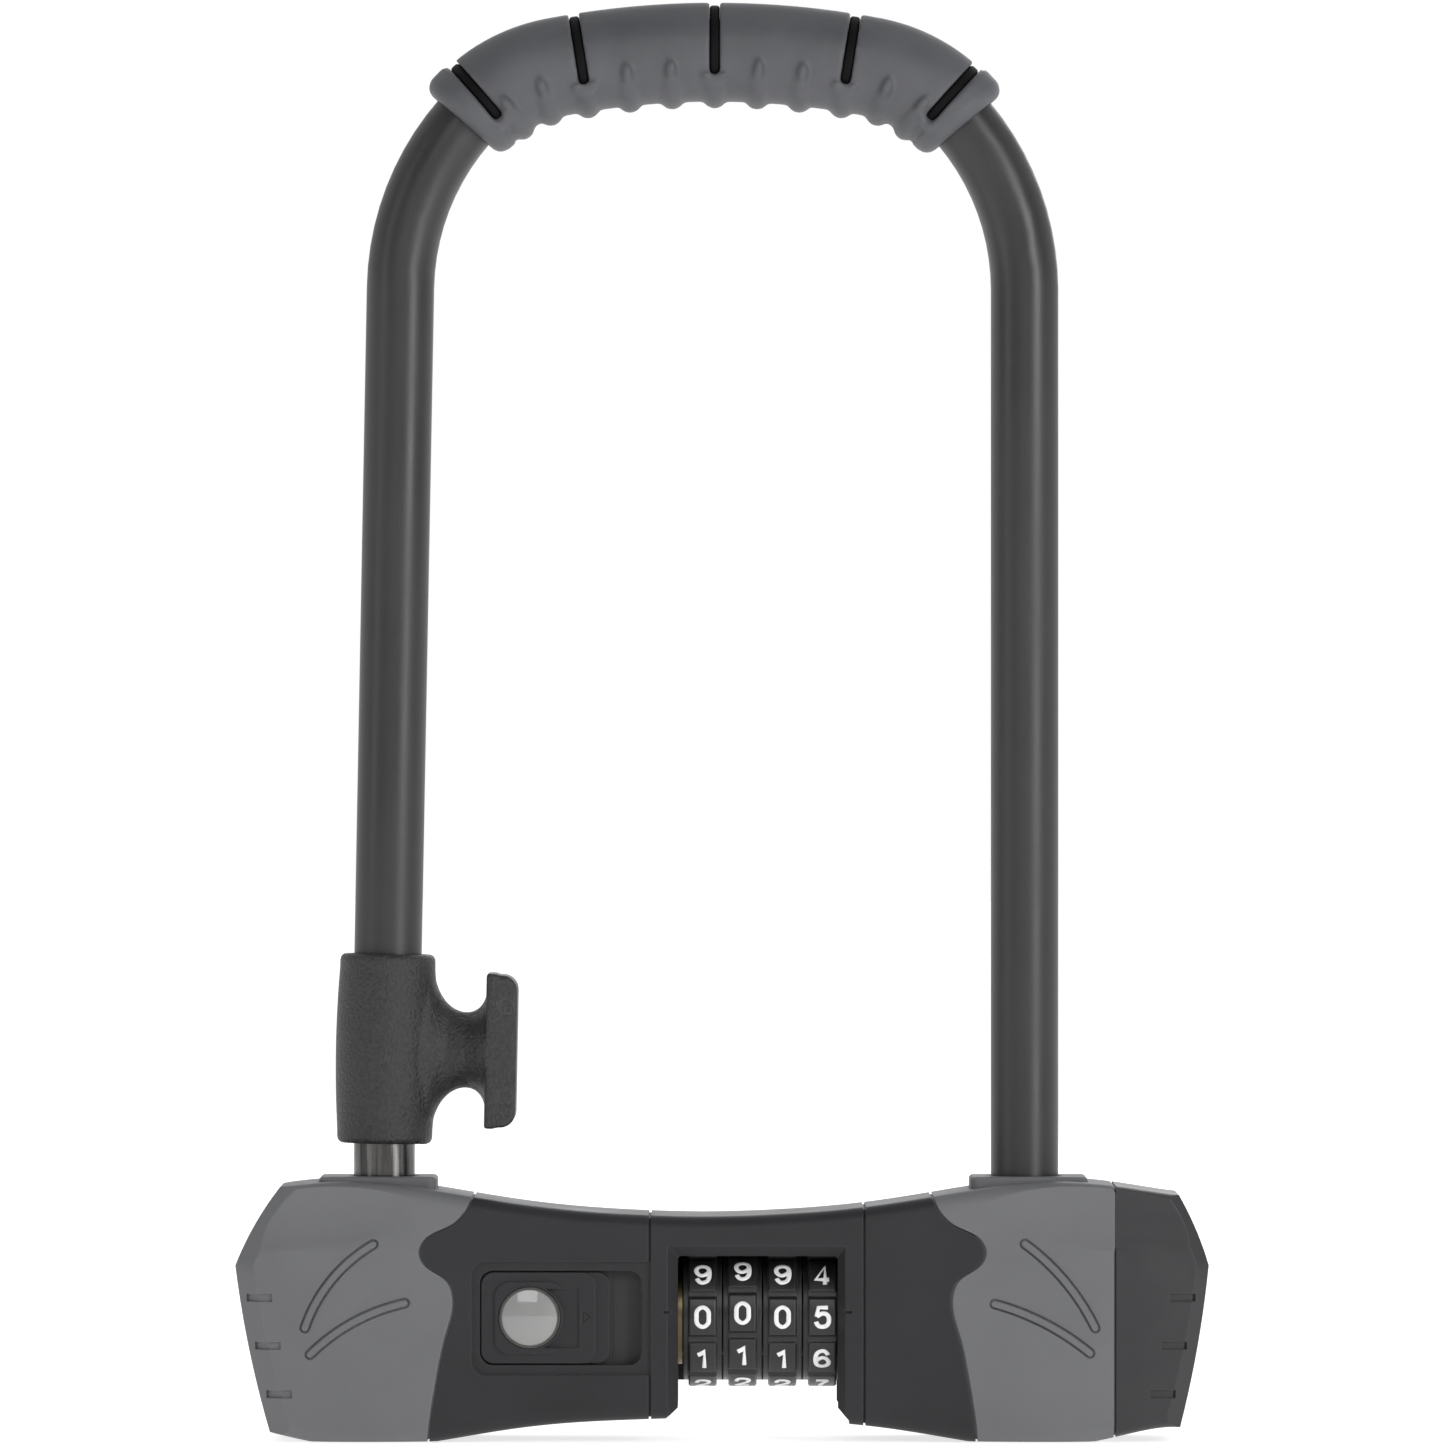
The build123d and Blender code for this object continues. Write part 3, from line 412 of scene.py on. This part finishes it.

# ------------------------------------------------------------------ casing
# Glass-filled nylon shells in three lengths, front and back, screwed together from behind.
# Charcoal with a fine matt grain; the edges at the seams are painted a little paler, partly for wear and
# partly as a painted highlight.
charcoal = finish("charcoal_shell", (0.0215, 0.0215, 0.0235), (0.0165, 0.0165, 0.018), 0.44, 0.54,
                  3800, 0.00001, blotch=42, edge=0.0004, edge_wear_and_highlight=(0.040, 0.040, 0.042), specular=0.3)
shells = (
    ("left_front_cover", "left_front_shell"), ("left_rear_cover", "left_back_shell"),
    ("dial_bezel", "dial_window_shell"), ("centre_rear_cover", "middle_back_shell"),
    ("right_front_cover", "right_front_shell"), ("right_rear_cover", "right_back_shell"),
)
for node, name in shells:
    fitted(node, name, charcoal, "crossbar")

# ------------------------------------------------------------------ end cap
# Harder, slightly glossier black plastic that closes the right-hand end.
cap_black = finish("end_cap_black", (0.033, 0.032, 0.034), (0.026, 0.025, 0.027), 0.36, 0.48, 3600,
                   0.00001, blotch=48, edge=0.0005, edge_wear_and_highlight=(0.055, 0.055, 0.055), specular=0.32)
fitted("end_cap", "right_end_cap", cap_black, "crossbar")

# ------------------------------------------------------------------ dials
# Black acetal wheels that turn on brass code rings. Ten flats with a groove between them, and
# numbers moulded in white plastic, a hair proud of each flat.
axis_z = 26.1 * mm
flat_radius = 15.2 * mm
number_height = 5.0 * mm
number_proud = 0.12 * mm
acetal = finish("dial_acetal", (0.013, 0.013, 0.014), (0.008, 0.008, 0.009), 0.30, 0.42, 3000, 0.000012,
                blotch=200, edge=0.0005, edge_wear_and_highlight=(0.035, 0.035, 0.036))
white_fill = finish("number_white", (0.88, 0.88, 0.87), (0.78, 0.78, 0.77), 0.40, 0.52, 2500, 0.00001,
                    blotch=900)
stroke = 0.98 * mm
oval = ((-1.3, 0), (-1.3, 1.55), (0, 2.6), (1.3, 1.55), (1.3, 0), (1.3, -1.55), (0, -2.6),
        (-1.3, -1.55))
six = ((1.2, 1.2), (0.8, 2.1), (-0.2, 2.35), (-1.3, 1.6), (-1.5, -0.4), (-1.2, -1.9), (0.0, -2.35),
       (1.25, -1.8), (1.4, -0.6), (0.6, 0.4), (-0.5, 0.35), (-1.25, -0.5))
# each number is one or more strokes; a stroke is closed or open, and curved or straight
strokes = {
    0: ((True, True, oval),),
    1: ((False, False, ((-1.0, 1.15), (-0.1, 1.6), (0.35, 2.05), (0.35, -2.05))),),
    2: ((False, True, ((-1.25, 1.0), (-1.2, 2.1), (0.0, 2.3), (1.35, 2.0), (1.3, 0.6),
                       (0.3, -0.4), (-0.9, -1.3), (-1.3, -2.05))),
        (False, False, ((-1.3, -2.05), (1.35, -2.05)))),
    3: ((False, True, ((-1.25, 1.1), (-0.9, 2.1), (0.2, 2.3), (1.2, 1.7), (1.1, 0.4), (-0.3, 0.2))),
        (False, True, ((-0.3, 0.2), (1.2, 0.3), (1.5, -1.0), (1.0, -2.2), (-0.3, -2.3),
                       (-1.2, -1.9), (-1.35, -1.0)))),
    4: ((False, False, ((0.55, -2.05), (0.55, 2.05), (-1.4, -0.95), (1.4, -0.95))),),
    5: ((False, False, ((1.15, 2.05), (-0.85, 2.05), (-1.2, 0.0))),
        (False, True, ((-1.2, 0.0), (-0.4, 0.75), (0.9, 0.7), (1.5, -0.4), (1.2, -1.9), (0.0, -2.35),
                       (-1.1, -2.0), (-1.35, -1.1)))),
    6: ((False, True, six),),
    7: ((False, False, ((-1.3, 2.05), (1.3, 2.05))),
        (False, True, ((1.3, 2.05), (0.3, 0.9), (-0.4, -0.7), (-0.45, -2.05)))),
    8: ((True, True, ((-1.0, 1.2), (-0.8, 2.2), (0, 2.3), (0.8, 2.2), (1.0, 1.2), (0.7, 0.2), (0, 0.15),
                      (-0.7, 0.2))),
        (True, True, ((-1.25, -0.9), (-1.0, 0.15), (0, 0.2), (1.0, 0.15), (1.25, -0.9), (1.0, -2.2),
                      (0, -2.35), (-1.0, -2.2)))),
    9: ((False, True, [(-x, -y) for x, y in six]),),
}
numerals = []
for value, lines in strokes.items():
    drawn = bpy.data.curves.new(f"number_{value}", "CURVE")
    drawn.dimensions = "3D"
    drawn.bevel_depth, drawn.bevel_resolution, drawn.resolution_u = stroke / 2, 3, 5
    drawn.use_fill_caps = True
    for closed, curved, places in lines:
        spline = drawn.splines.new("NURBS" if curved else "POLY")
        spline.points.add(len(places) - 1)
        for point, (x, y) in zip(spline.points, places):
            point.co = (x * mm, y * mm, 0, 1)
        spline.use_cyclic_u = closed
        if curved:
            spline.order_u = 3
            spline.use_endpoint_u = not closed
    glyph = bpy.data.objects.new(f"number_{value}", drawn)
    bpy.context.collection.objects.link(glyph)
    only(glyph)
    bpy.ops.object.convert(target="MESH")
    glyph = bpy.context.object
    bpy.ops.object.mode_set(mode="EDIT")
    for i in range(-6, 7):
        bpy.ops.mesh.select_all(action="SELECT")
        bpy.ops.mesh.bisect(plane_co=(0, i * 0.4 * mm, 0), plane_no=(0, 1, 0))
    bpy.ops.object.mode_set(mode="OBJECT")
    highs = [corner.co.y for corner in glyph.data.vertices]
    middle, tall = (max(highs) + min(highs)) / 2, max(highs) - min(highs)
    for corner in glyph.data.vertices:
        corner.co.y = (corner.co.y - middle) * number_height / tall
        corner.co.z = corner.co.z * 2 * number_proud / stroke
    numerals.append(glyph)

dial_count, digits = 4, 10
front_numbers = (0, 0, 0, 5)
dial_turns = (0.0, 3.3, 0.0, 0.0)
for dial in range(dial_count):
    body = f"dial_{dial + 1}"
    fitted(body, f"dial_wheel_{dial + 1}", acetal, body)
    low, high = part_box(body)
    middle_x = (low[0] + high[0]) / 2
    copies = []
    for row in range(digits):
        source = numerals[(front_numbers[dial] + row) % digits]
        number = bpy.data.objects.new(f"row_{row}", source.data.copy())
        bpy.context.collection.objects.link(number)
        below = radians(360 / digits * row - dial_turns[dial])
        for corner in number.data.vertices:
            around = below - corner.co.y / flat_radius
            out = flat_radius + corner.co.z
            corner.co = (middle_x + corner.co.x, -out * cos(around), axis_z - out * sin(around))
        copies.append(number)
    bpy.ops.object.select_all(action="DESELECT")
    for number in copies:
        number.select_set(True)
    bpy.context.view_layer.objects.active = copies[0]
    bpy.ops.object.join()
    numbers = bpy.context.object
    numbers.name = f"dial_numbers_{dial + 1}"
    numbers.data.materials.clear()
    numbers.data.materials.append(white_fill)
    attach(numbers, body)
for glyph in numerals:
    bpy.data.objects.remove(glyph)

brass = finish("turned_brass", (0.62, 0.45, 0.20), (0.50, 0.35, 0.15), 0.25, 0.40, 2400, 0.00001,
               blotch=300, metal=1.0)
for dial in range(dial_count):
    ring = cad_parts[f"code_sleeve_{dial + 1}"]
    ring.data.materials.clear()
    ring.data.materials.append(brass)

# ------------------------------------------------------------------ release slider
# Charcoal slider in a tray, worked by a thumb; a clear-topped silver disc is bonded into it.
fitted("release_slider", "thumb_slider", charcoal, "slider")
# the bed is charcoal like the shells, painted paler here: painted light that lifts the shade of its
# sunken tray
bed_painted_light = finish("slider_bed_painted_light", (0.033, 0.033, 0.035), (0.027, 0.027, 0.029), 0.44, 0.54, 3800,
                  0.00001, blotch=42, edge=0.0003, edge_wear_and_highlight=(0.05, 0.05, 0.052), specular=0.3)
fitted("slider_tray", "slider_bed", bed_painted_light, "crossbar")
silver = finish("silver_disc", (0.250, 0.250, 0.245), (0.232, 0.232, 0.228), 0.34, 0.40, 2400, 0.000001,
                blotch=120)
silver.node_tree.nodes["Principled BSDF"].inputs["Coat Weight"].default_value = 1.0
silver.node_tree.nodes["Principled BSDF"].inputs["Coat Roughness"].default_value = 0.03
fitted("badge_dome", "plain_disc", silver, "slider")
rim_dark = finish("disc_rim", (0.06, 0.055, 0.05), (0.04, 0.037, 0.034), 0.25, 0.40, 2600, 0.00001,
                  blotch=300, edge=0.0002, edge_wear_and_highlight=(0.10, 0.09, 0.08))
fitted("badge_ring", "disc_rim_ring", rim_dark, "slider")

# ------------------------------------------------------------------ screws
# Black-zinc pan screws, driven from behind, that hold the back shells on.
black_zinc = finish("black_zinc", (0.10, 0.10, 0.105), (0.06, 0.06, 0.064), 0.28, 0.42, 2400, 0.00001,
                    blotch=500, metal=1.0)
fitted("cover_screws", "back_screws", black_zinc, "crossbar")

# ------------------------------------------------------------------ lock core
# Inside: machined steel blocks, bolts and spindle, an oiled tube with brass washers, phosphated
# springs and a nylon bush. They stay as the frame has them and take their finishes only.
machined = finish("machined_steel", (0.52, 0.52, 0.53), (0.42, 0.42, 0.43), 0.28, 0.42, 1800, 0.00001,
                  blotch=300, stretch=(0.1, 1, 1), metal=1.0)
spring_wire = finish("spring_wire", (0.34, 0.34, 0.35), (0.24, 0.24, 0.25), 0.24, 0.36, 2600, 0.00001,
                     blotch=500, metal=1.0)
bush_nylon = finish("bush_nylon", (0.05, 0.05, 0.052), (0.038, 0.038, 0.04), 0.4, 0.5, 2600, 0.00002,
                    blotch=200)
washer_brass = finish("washer_brass", (0.30, 0.24, 0.14), (0.16, 0.125, 0.07), 0.30, 0.45, 2400, 0.00001,
                      blotch=300, metal=1.0)
oiled_black = finish("oiled_black", (0.035, 0.035, 0.036), (0.022, 0.022, 0.023), 0.35, 0.50, 2400,
                     0.00001, blotch=300, metal=1.0)
core = {
    oiled_black: ("core_tube",),
    washer_brass: ("thrust_washers",),
    machined: ("left_lock_block", "right_lock_block", "spring_seat",
               "spindle", "left_bolt", "bolt_yoke", "drive_pin", "set_screws"),
    spring_wire: ("detent_spring", "bolt_spring", "link_spring", "slider_spring"),
    bush_nylon: ("bracket_liner",),
}
for surface, names in core.items():
    for name in names:
        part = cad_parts[name]
        part.data.materials.clear()
        part.data.materials.append(surface)
